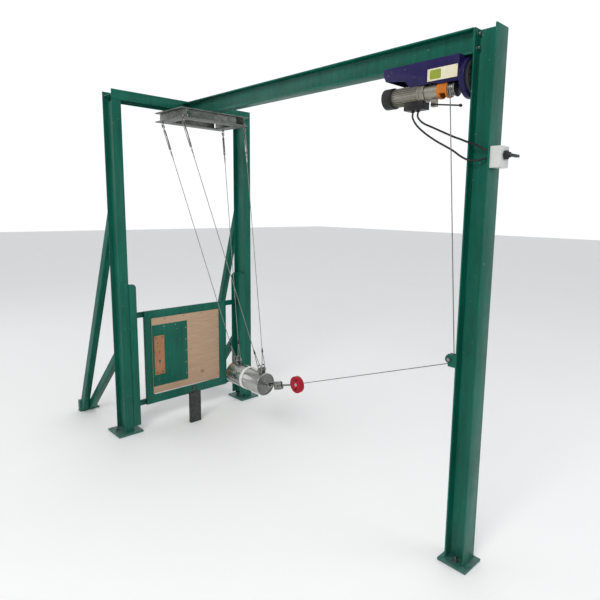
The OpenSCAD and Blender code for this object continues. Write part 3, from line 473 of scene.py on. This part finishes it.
def islands(node):
    """The separate solids of a CAD node, each as a list of its corner points."""
    bm = merged_copy(node)
    bm.verts.ensure_lookup_table()
    seen, found = set(), []
    for vert in bm.verts:
        if vert.index in seen:
            continue
        stack, group = [vert], []
        seen.add(vert.index)
        while stack:
            here = stack.pop()
            group.append(here.co.copy())
            for edge in here.link_edges:
                other = edge.other_vert(here)
                if other.index not in seen:
                    seen.add(other.index)
                    stack.append(other)
        found.append(group)
    bm.free()
    return found


def middle(points):
    low = Vector([min(p[i] for p in points) for i in range(3)])
    high = Vector([max(p[i] for p in points) for i in range(3)])
    return (low + high) / 2


def ends_of(points):
    """The middles of the two end discs of a straight rod given by its corner points."""
    mid = middle(points)
    far = max(points, key=lambda p: (p - mid).length)
    line = (far - mid).normalized()
    for _ in range(4):
        reach = [(p - mid).dot(line) for p in points]
        top = [p for p, r in zip(points, reach) if r > max(reach) - 0.002]
        low = [p for p, r in zip(points, reach) if r < min(reach) + 0.002]
        a = sum(top, Vector()) / len(top)
        b = sum(low, Vector()) / len(low)
        line = (a - b).normalized()
    return a, b


# ------------------------------------------------------------------ geometry nodes

class Grown:
    """A Geometry Nodes tree with named inputs, ended by Realize Instances and Set Material."""

    def __init__(self, name, **sizes):
        self.group = bpy.data.node_groups.new(name, "GeometryNodeTree")
        face = self.group.interface
        face.new_socket("Geometry", in_out="INPUT", socket_type="NodeSocketGeometry")
        face.new_socket("Geometry", in_out="OUTPUT", socket_type="NodeSocketGeometry")
        self.keys = {}
        for key, value in sizes.items():
            kind = "NodeSocketInt" if isinstance(value, int) else "NodeSocketFloat"
            socket = face.new_socket(key, in_out="INPUT", socket_type=kind)
            socket.default_value = value
            self.keys[key] = socket.identifier
        self.given = self.group.nodes.new("NodeGroupInput").outputs
        self.out = self.group.nodes.new("NodeGroupOutput")

    def node(self, kind, inputs=None, **settings):
        made = self.group.nodes.new(kind)
        for key, value in settings.items():
            setattr(made, key, value)
        for key, value in (inputs or {}).items():
            socket = made.inputs[key]
            if isinstance(value, bpy.types.NodeSocket):
                self.group.links.new(value, socket)
            else:
                socket.default_value = value
        return made.outputs

    def math(self, how, a, b=0.0):
        return self.node("ShaderNodeMath", {0: a, 1: b}, operation=how)[0]

    def vector(self, how, a, b=(0, 0, 0)):
        key = 3 if how == "SCALE" else 1
        return self.node("ShaderNodeVectorMath", {0: a, key: b}, operation=how)[0]

    def end(self, geometry, material):
        real = self.node("GeometryNodeRealizeInstances", {"Geometry": geometry})[0]
        skin = self.node("GeometryNodeSetMaterial", {"Geometry": real, "Material": material})[0]
        self.group.links.new(skin, self.out.inputs[0])
        return self

    def grow(self, name, verts, edges, body, slot, smooth_angle=60, **sizes):
        """Runs the tree on points or lines and returns the plain mesh as a riding piece."""
        mesh = bpy.data.meshes.new(name)
        mesh.from_pydata([tuple(v) for v in verts], edges, [])
        piece = bpy.data.objects.new(name, mesh)
        bpy.context.scene.collection.objects.link(piece)
        modifier = piece.modifiers.new("grow", "NODES")
        modifier.node_group = self.group
        for key, value in sizes.items():
            modifier[self.keys[key]] = value
        apply_modifiers(piece)
        return dress(piece, body, slot, None, smooth_angle)


def rope_tree(material):
    """Stranded wire rope along each line: strands wound about it at a steady pitch, round a core."""
    t = Grown("wire_rope", radius=0.003, pitch=0.042, strands=6)
    line = t.node("GeometryNodeMeshToCurve", {"Mesh": t.given["Geometry"]})[0]
    step = t.math("DIVIDE", t.given["pitch"], 10.0)
    line = t.node("GeometryNodeResampleCurve", {"Curve": line, "Length": step}, mode="LENGTH")[0]
    copies = t.node("GeometryNodeDuplicateElements", {"Geometry": line, "Amount": t.given["strands"]},
                    domain="SPLINE")
    turns = t.math("DIVIDE", t.node("GeometryNodeSplineParameter")["Length"], t.given["pitch"])
    share = t.math("DIVIDE", copies["Duplicate Index"], t.given["strands"])
    angle = t.math("MULTIPLY", t.math("ADD", turns, share), 2 * math.pi)
    normal = t.node("GeometryNodeInputNormal")[0]
    across = t.vector("CROSS_PRODUCT", t.node("GeometryNodeInputTangent")[0], normal)
    around = t.vector("ADD", t.vector("SCALE", normal, t.math("COSINE", angle)),
                      t.vector("SCALE", across, t.math("SINE", angle)))
    orbit = t.math("MULTIPLY", t.given["radius"], 0.62)
    wound = t.node("GeometryNodeSetPosition", {
        "Geometry": copies["Geometry"], "Offset": t.vector("SCALE", around, orbit)})[0]
    strand = t.node("GeometryNodeCurvePrimitiveCircle", {
        "Resolution": 6, "Radius": t.math("MULTIPLY", t.given["radius"], 0.38)})[0]
    core = t.node("GeometryNodeCurvePrimitiveCircle", {
        "Resolution": 6, "Radius": t.math("MULTIPLY", t.given["radius"], 0.4)})[0]
    skin = t.node("GeometryNodeCurveToMesh", {"Curve": wound, "Profile Curve": strand, "Fill Caps": True})[0]
    heart = t.node("GeometryNodeCurveToMesh", {"Curve": line, "Profile Curve": core, "Fill Caps": True})[0]
    both = t.node("GeometryNodeJoinGeometry")
    t.group.links.new(skin, both[0].node.inputs[0])
    t.group.links.new(heart, both[0].node.inputs[0])
    return t.end(both[0], material)


def bead_tree(material):
    """Weld bead along each line: overlapping flattened ripples of slightly uneven size."""
    t = Grown("weld_bead", size=0.0045, step=0.0035, seed=7)
    line = t.node("GeometryNodeMeshToCurve", {"Mesh": t.given["Geometry"]})[0]
    line = t.node("GeometryNodeResampleCurve", {"Curve": line, "Length": t.given["step"]}, mode="LENGTH")[0]
    ripple = t.node("GeometryNodeMeshUVSphere", {"Segments": 8, "Rings": 5, "Radius": t.given["size"]})[0]
    tangent = t.node("GeometryNodeInputTangent")[0]
    facing = t.node("FunctionNodeAlignRotationToVector", {"Vector": tangent}, axis="X")[0]
    uneven = t.node("FunctionNodeRandomValue", {"Min": (0.55, 0.85, 0.85), "Max": (0.8, 1.15, 1.1),
                                                "Seed": t.given["seed"]}, data_type="FLOAT_VECTOR")[0]
    beads = t.node("GeometryNodeInstanceOnPoints", {
        "Points": line, "Instance": ripple, "Rotation": facing, "Scale": uneven})[0]
    return t.end(beads, material)


def anchor_tree(material):
    """Floor anchors: washer, hexagon nut and the stud's end on each point."""
    t = Grown("floor_anchor", stud=0.0075, seed=3)
    joined = t.node("GeometryNodeJoinGeometry")
    for sides, scale, depth, low in ((24, 2.1, 0.003, 0.0), (6, 1.75, 0.013, 0.003), (16, 1.0, 0.028, 0.003)):
        drum = t.node("GeometryNodeMeshCylinder", {
            "Vertices": sides, "Radius": t.math("MULTIPLY", t.given["stud"], scale), "Depth": depth})[0]
        place = (0, 0, low + depth / 2)
        lifted = t.node("GeometryNodeTransform", {"Geometry": drum, "Translation": place})[0]
        t.group.links.new(lifted, joined[0].node.inputs[0])
    turn = t.node("FunctionNodeRandomValue", {"Min": (0, 0, 0), "Max": (0, 0, 1.0), "Seed": t.given["seed"]},
                  data_type="FLOAT_VECTOR")[0]
    bolts = t.node("GeometryNodeInstanceOnPoints", {
        "Points": t.given["Geometry"], "Instance": joined[0], "Rotation": turn})[0]
    return t.end(bolts, material)


def dome_tree(material):
    """Domed rivet and screw heads that face along X, one on each point."""
    t = Grown("domed_head", radius=0.006, height=0.0025)
    ball = t.node("GeometryNodeMeshUVSphere", {"Segments": 16, "Rings": 8, "Radius": 1.0})[0]
    size = t.node("ShaderNodeCombineXYZ", {
        0: t.given["height"], 1: t.given["radius"], 2: t.given["radius"]})[0]
    heads = t.node("GeometryNodeInstanceOnPoints", {
        "Points": t.given["Geometry"], "Instance": ball, "Scale": size})[0]
    return t.end(heads, material)


# ------------------------------------------------------------------ ropes

PIVOT_Z = 2.742
PIN_Z = 0.7239
ROPES = {"inner": -1.010, "outer": -0.670}
HANG_Y = 0.308
LUG_Y = 0.020
SWING_X = 0.6363
SOCKET_DOWN = 0.228
FERRULE_UP = 0.1405
ROPE = rope_tree(FINISH["wire_rope"])


def straight_ropes(node):
    """Stranded ropes in place of a node's plain straight ones."""
    verts, edges = [], []
    for group in islands(node):
        edges.append((len(verts), len(verts) + 1))
        verts += ends_of(group)
    piece = ROPE.grow("strands_" + node, verts, edges, BODY[node], SLOT[node])
    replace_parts(piece, node)


def fitted_ends(node, pivot_x):
    """Rope ends with each fitting in its own metal: bright hooks and screws, pale sockets, black ferrules."""
    bm = merged_copy(node)
    mesh = bpy.data.meshes.new("fitted_" + node)
    bm.to_mesh(mesh)
    bm.free()
    piece = bpy.data.objects.new("fitted_" + node, mesh)
    bpy.context.scene.collection.objects.link(piece)
    for finish in (FINISH["bright_steel"], WHITE_METAL, FINISH["wire_rope"], FINISH["black_fittings"]):
        mesh.materials.append(finish)
    for polygon in mesh.polygons:
        side = 1 if polygon.center.y > 0 else -1
        top = Vector((pivot_x, side * HANG_Y, PIVOT_Z))
        foot = Vector((pivot_x + SWING_X, side * LUG_Y, PIN_Z))
        down = (polygon.center - top).dot((foot - top).normalized())
        above = (foot - top).length - down
        if down < above:
            polygon.material_index = 0 if down < SOCKET_DOWN else 1
        else:
            polygon.material_index = 3 if above > FERRULE_UP else 2
    dress(piece, BODY[node], SLOT[node])
    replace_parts(piece, node)


for name, pivot_x in ROPES.items():
    straight_ropes(name + "_ropes")
    fitted_ends(name + "_rope_ends", pivot_x)

straight_ropes("pull_rope")

# The hoist's rope comes off the drum and runs a little way round the sheave
DRUM_LEAVE = Vector((1.678, -0.0993, 2.690))
SHEAVE = Vector((1.711, 0, 1.208))
GROOVE_R = 0.024
WRAP = 45
arc = [SHEAVE + GROOVE_R * Vector((math.cos(math.radians(a)), 0, math.sin(math.radians(a))))
       for a in range(-WRAP, 1, 5)]
line = arc + [DRUM_LEAVE]
links = [(i, i + 1) for i in range(len(line) - 1)]
piece = ROPE.grow("strands_hoist_rope", line, links, "frame", "wire_rope")
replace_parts(piece, "hoist_rope")


# ------------------------------------------------------------------ mass and trip weight

MASS_X0, MASS_X1 = (corner.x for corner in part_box("mass_shell"))
MASS_Z = (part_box("mass_shell")[0].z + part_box("mass_shell")[1].z) / 2
MASS_R = (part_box("mass_shell")[1].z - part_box("mass_shell")[0].z) / 2
MASS_BORE = MASS_R - 0.006
mass_axis = Vector((0, 0, MASS_Z))
rim = 0.0025
shell = lathe([
    (MASS_X0 + rim, MASS_R), (MASS_X1 - rim, MASS_R), (MASS_X1 - rim * 0.4, MASS_R - rim * 0.3),
    (MASS_X1, MASS_R - rim), (MASS_X1, MASS_BORE + 0.001), (MASS_X1 - 0.001, MASS_BORE),
    (MASS_X0 + 0.001, MASS_BORE), (MASS_X0, MASS_BORE + 0.001), (MASS_X0, MASS_R - rim),
    (MASS_X0 + rim * 0.4, MASS_R - rim * 0.3)], (1, 0, 0), mass_axis, 128, closed=True)
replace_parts(mesh_piece("turned_mass_shell", shell, "mass", "polished_steel"), "mass_shell")


def turned_cap(outer, inner, bore):
    """A closing disc with a shallow turned step and a weld fillet into the shell."""
    away = 1 if outer > inner else -1
    profile = [(inner, bore), (inner, MASS_BORE), (outer - away * 0.001, MASS_BORE),
               (outer, MASS_BORE - 0.002), (outer, MASS_BORE * 0.82),
               (outer - away * 0.0012, MASS_BORE * 0.80),
               (outer - away * 0.0012, MASS_BORE * 0.32), (outer, MASS_BORE * 0.30), (outer, bore)]
    return lathe(profile, (1, 0, 0), mass_axis, 96, closed=bore > 0)


CAP_INSET, CAP_T = 0.006, 0.010
caps = turned_cap(MASS_X0 + CAP_INSET, MASS_X0 + CAP_INSET + CAP_T, 0)
add_bm(caps, turned_cap(MASS_X1 - CAP_INSET, MASS_X1 - CAP_INSET - CAP_T, 0.008))
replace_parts(mesh_piece("turned_end_caps", caps, "mass", "dark_steel", DARK_FACE), "mass_end_caps")


# ------------------------------------------------------------------ motor cables

X_MAST = 1.839
CABLE_R = 0.0055
LONG_CABLE = (
    (-414, -65, 2595), (-414, -65, 2568), (-385, -66, 2525), (-330, -64, 2478), (-254, -58, 2428),
    (-159, -54, 2376), (-104, -64, 2342), (-69, -71, 2324), (-50, -68, 2317),
    (-22, -44, 2313), (20, -27, 2321), (52, -26, 2322))
SHORT_CABLE = (
    (-379, -65, 2595), (-379, -65, 2568), (-345, -64, 2534), (-279, -58, 2502), (-162, -52, 2448),
    (-104, -64, 2426), (-69, -71, 2412), (-50, -68, 2405),
    (-22, -44, 2392), (20, -27, 2368), (52, -26, 2366))
cables = bmesh.new()
for route in (LONG_CABLE, SHORT_CABLE):
    knots = [Vector((X_MAST + x * MM, y * MM, z * MM)) for x, y, z in route]
    add_bm(cables, swept_tube(spline(knots), CABLE_R))
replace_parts(mesh_piece("smooth_motor_cables", cables, "frame", SLOT["motor_cables"], smooth_angle=60),
            "motor_cables")


# ------------------------------------------------------------------ welds, anchors and small heads

def loop_at(x0, x1, y0, y1, z):
    return [Vector(p) for p in ((x0, y0, z), (x1, y0, z), (x1, y1, z), (x0, y1, z))]


def add_loop(verts, edges, corners):
    first = len(verts)
    verts += corners
    edges += [(first + i, first + (i + 1) % len(corners)) for i in range(len(corners))]


X_PORTAL = -1.205
POST_Y = 0.665
POST_DEPTH = 0.185
POST_HALF = 0.040
MAST_DEPTH = 0.124
MAST_HALF = 0.060
FLANGE = 0.008
PLATE_TOP = 0.015
verts, edges = [], []
for side in (-1, 1):
    for face in (-1, 1):
        edge_x = X_PORTAL + face * POST_DEPTH / 2
        inner_x = edge_x - face * FLANGE
        add_loop(verts, edges, loop_at(min(edge_x, inner_x), max(edge_x, inner_x), side * POST_Y - POST_HALF,
                                       side * POST_Y + POST_HALF, PLATE_TOP))
for face in (-1, 1):
    edge_x = X_MAST + face * MAST_DEPTH / 2
    inner_x = edge_x - face * FLANGE
    add_loop(verts, edges, loop_at(min(edge_x, inner_x), max(edge_x, inner_x),
                                   -MAST_HALF, MAST_HALF, PLATE_TOP))
BEADS = bead_tree(FINISH["plate_paint"])
BEADS.grow("foot_welds", verts, edges, "frame", "plate_paint")

ANCHORS = anchor_tree(FINISH["zinc"])
POST_ANCHOR_X = X_PORTAL - 0.035
POST_ANCHOR_Y = 0.068
MAST_ANCHOR_Y = 0.039
anchor_points = [Vector((POST_ANCHOR_X, side * POST_Y + off, PLATE_TOP))
                 for side in (-1, 1) for off in (-POST_ANCHOR_Y, POST_ANCHOR_Y)]
anchor_points += [Vector((X_MAST, off, PLATE_TOP)) for off in (-MAST_ANCHOR_Y, MAST_ANCHOR_Y)]
ANCHORS.grow("floor_anchors", anchor_points, [], "frame", "zinc", smooth_angle=35)


# ------------------------------------------------------------------ plates and edges

def two_tone(node, material, across):
    """The eased copy of a node takes a second material on the faces that look along the other axes."""
    piece = bpy.data.objects["eased_" + node]
    piece.data.materials.append(material)
    for polygon in piece.data.polygons:
        if abs(polygon.normal[across]) < 0.6:
            polygon.material_index = 1


two_tone("plywood_sheet", PLY_EDGE, 0)
plate_low, plate_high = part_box("hoist_plate")
patch = bmesh.new()
PATCH_T = 0.0008
face_y = plate_low.y - PATCH_T / 2
corner, reach_x, reach_z = 0.006, 0.034, 0.024
mid_x = plate_low.x + 0.05
mid_z = (plate_low.z + plate_high.z) / 2
outline = []
for sx, sz, start in ((1, 1, 0), (-1, 1, 90), (-1, -1, 180), (1, -1, 270)):
    for k in range(5):
        a = math.radians(start + 22.5 * k)
        outline.append((mid_x + sx * (reach_x - corner) + corner * math.cos(a),
                        mid_z + sz * (reach_z - corner) + corner * math.sin(a)))
front = [patch.verts.new((x, face_y, z)) for x, z in outline]
back = [patch.verts.new((x, face_y + PATCH_T, z)) for x, z in outline]
patch.faces.new(front)
patch.faces.new(list(reversed(back)))
for k in range(len(front)):
    n = (k + 1) % len(front)
    patch.faces.new((front[k], back[k], back[n], front[n]))
bmesh.ops.recalc_face_normals(patch, faces=patch.faces)
mesh_piece("plate_patch", patch, "frame", "plate_cream", OLIVE)


# ------------------------------------------------------------------ small fittings

def ring(centre_point, along, across, radius, wire, steps=28, sides=10):
    """A wire ring in the plane of along and across."""
    bm = bmesh.new()
    side = along.cross(across).normalized()
    rows = []
    for i in range(steps):
        a = 2 * math.pi * i / steps
        out = along * math.cos(a) + across * math.sin(a)
        rows.append([bm.verts.new(centre_point + out * (radius + wire * math.cos(2 * math.pi * k / sides))
                                  + side * wire * math.sin(2 * math.pi * k / sides)) for k in range(sides)])
    for i in range(steps):
        a, b = rows[i], rows[(i + 1) % steps]
        for k in range(sides):
            n = (k + 1) % sides
            bm.faces.new((a[k], a[n], b[n], b[k]))
    bmesh.ops.recalc_face_normals(bm, faces=bm.faces)
    return bm


EYE_DOWN = 0.256
for name, pivot_x in ROPES.items():
    rings = bmesh.new()
    for side in (-1, 1):
        top = Vector((pivot_x, side * HANG_Y, PIVOT_Z))
        down = (Vector((pivot_x + SWING_X, side * LUG_Y, PIN_Z)) - top).normalized()
        across = down.cross(Vector((0.7, 0.7, 0))).normalized()
        add_bm(rings, ring(top + down * EYE_DOWN, down, across, 0.0135, 0.0035))
    mesh_piece("tightener_eyes_" + name, rings, name + "_ropes_body", "bright_steel", smooth_angle=60)

WEIGHT = Vector((0.4026, 0, 0.7088))
HUB = [(0.0138, 0), (0.0138, 0.013), (0.0158, 0.0125), (0.0158, 0.008), (0.0195, 0.007), (0.0205, 0.004),
       (0.0205, 0)]
# The six dimples round each face of the trip weight are thin black discs, not recesses in the mesh: painted
# shade standing in for the hollows.
DIMPLE_RING = 0.044
DIMPLE_SHADE_DISC = [(0.0136, 0), (0.0136, 0.0045), (0.0146, 0.0038), (0.0146, 0)]
hubs, dimple_shade_discs = bmesh.new(), bmesh.new()
for side in (-1, 1):
    add_bm(hubs, lathe(HUB, (0, side, 0), WEIGHT, 32))
    for k in range(6):
        a = math.radians(15 + 60 * k)
        spot = WEIGHT + DIMPLE_RING * Vector((math.cos(a), 0, math.sin(a)))
        add_bm(dimple_shade_discs, lathe(DIMPLE_SHADE_DISC, (0, side, 0), spot, 16))
mesh_piece("weight_hubs", hubs, "pull_line", "zinc", WHITE_METAL)
mesh_piece("weight_dimple_shade_discs", dimple_shade_discs, "pull_line", "black_fittings")

HEADS = dome_tree(FINISH["black_fittings"])
SCREW_INSET = 0.016
LOCK_INSET = 0.020
ply_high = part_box("plywood_sheet")[1]
screws = [Vector((ply_high.x, ply_high.y - SCREW_INSET, z)) for z in (0.34, 0.46, 0.585, 0.70, 0.83, 0.955)]
screws += [Vector((ply_high.x, y, ply_high.z - SCREW_INSET)) for y in (-0.25, -0.05, 0.15)]
HEADS.grow("sheet_screws", screws, [], "panel", "black_fittings", radius=0.0045, height=0.0018)
lock_low, lock_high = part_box("lock_plate")
lock_mid = (lock_low + lock_high) / 2
lock_screws = [Vector((lock_high.x, y, z)) for y in (lock_low.y + LOCK_INSET, lock_high.y - LOCK_INSET)
               for z in (lock_low.z + LOCK_INSET, lock_high.z - LOCK_INSET)]
lock_screws.append(Vector((lock_high.x, lock_mid.y, lock_mid.z + 0.03)))
HEADS.grow("lock_screws", lock_screws, [], "panel", "black_fittings", radius=0.006, height=0.002)

# ------------------------------------------------------------------ studio

def light(name, place, aim, size, watts, tint=(1, 1, 1)):
    data = bpy.data.lights.new(name, "AREA")
    data.shape = "RECTANGLE"
    data.size, data.size_y = size
    data.energy = watts
    data.color = tint
    lamp = bpy.data.objects.new(name, data)
    lamp.location = place
    lamp.rotation_euler = (Vector(aim) - Vector(place)).to_track_quat("-Z", "Y").to_euler()
    bpy.context.scene.collection.objects.link(lamp)


def studio():
    world = bpy.data.worlds.new("studio")
    world.use_nodes = True
    tree = world.node_tree
    sky = tree.nodes["Background"]
    ahead = tree.nodes.new("ShaderNodeVectorMath")
    ahead.operation = "DOT_PRODUCT"
    ahead.inputs[1].default_value = (-0.71, 0.70, 0.0)
    tree.links.new(tree.nodes.new("ShaderNodeTexCoord").outputs["Generated"], ahead.inputs[0])
    ramp = tree.nodes.new("ShaderNodeMapRange")
    ramp.inputs["From Min"].default_value = 0.1
    ramp.inputs["From Max"].default_value = 0.75
    ramp.inputs["To Min"].default_value = 0.55
    ramp.inputs["To Max"].default_value = 1.05
    tree.links.new(ahead.outputs["Value"], ramp.inputs["Value"])
    tree.links.new(ramp.outputs["Result"], sky.inputs["Strength"])
    sky.inputs["Color"].default_value = (0.97, 0.98, 1.0, 1)
    bpy.context.scene.view_settings.view_transform = "Standard"
    bpy.context.scene.world = world
    light("key", (3.5, -6.5, 6.5), (0, 0, 1.4), (4, 3), 330, (1, 0.98, 0.95))
    light("window", (7.5, 3.0, 3.6), (0, 0, 1.5), (5, 4), 110, (0.92, 0.96, 1))
    light("fill", (-6.5, -5.0, 3.5), (0, 0, 1.5), (5, 4), 60)
    bm = bmesh.new()
    bmesh.ops.create_grid(bm, x_segments=2, y_segments=2, size=40)
    mesh = bpy.data.meshes.new("floor")
    bm.to_mesh(mesh)
    bm.free()
    floor = bpy.data.objects.new("floor", mesh)
    mesh.materials.append(floor_finish("pale_floor"))
    floor.location.z = -0.0005
    bpy.context.scene.collection.objects.link(floor)


def camera():
    """A wide view from beside the mast, about two metres up, looking back to the portal."""
    eye = Vector((3.198, -2.549, 2.052))
    yaw, pitch, roll = math.radians(45.37), math.radians(8.65), math.radians(0.87)
    ahead = Vector((-math.sin(yaw) * math.cos(pitch), math.cos(yaw) * math.cos(pitch), -math.sin(pitch)))
    right = Vector((math.cos(yaw), math.sin(yaw), 0))
    top = right.cross(ahead)
    side = right * math.cos(roll) + top * math.sin(roll)
    lift = top * math.cos(roll) - right * math.sin(roll)
    data = bpy.data.cameras.new("camera")
    data.sensor_width = 36
    data.lens = 30.65
    data.shift_x = -0.03
    data.shift_y = -0.0227
    data.clip_end = 200
    eye_object = bpy.data.objects.new("camera", data)
    eye_object.matrix_world = Matrix((
        (side.x, lift.x, -ahead.x, eye.x),
        (side.y, lift.y, -ahead.y, eye.y),
        (side.z, lift.z, -ahead.z, eye.z),
        (0, 0, 0, 1)))
    bpy.context.scene.collection.objects.link(eye_object)
    bpy.context.scene.camera = eye_object


studio()
camera()
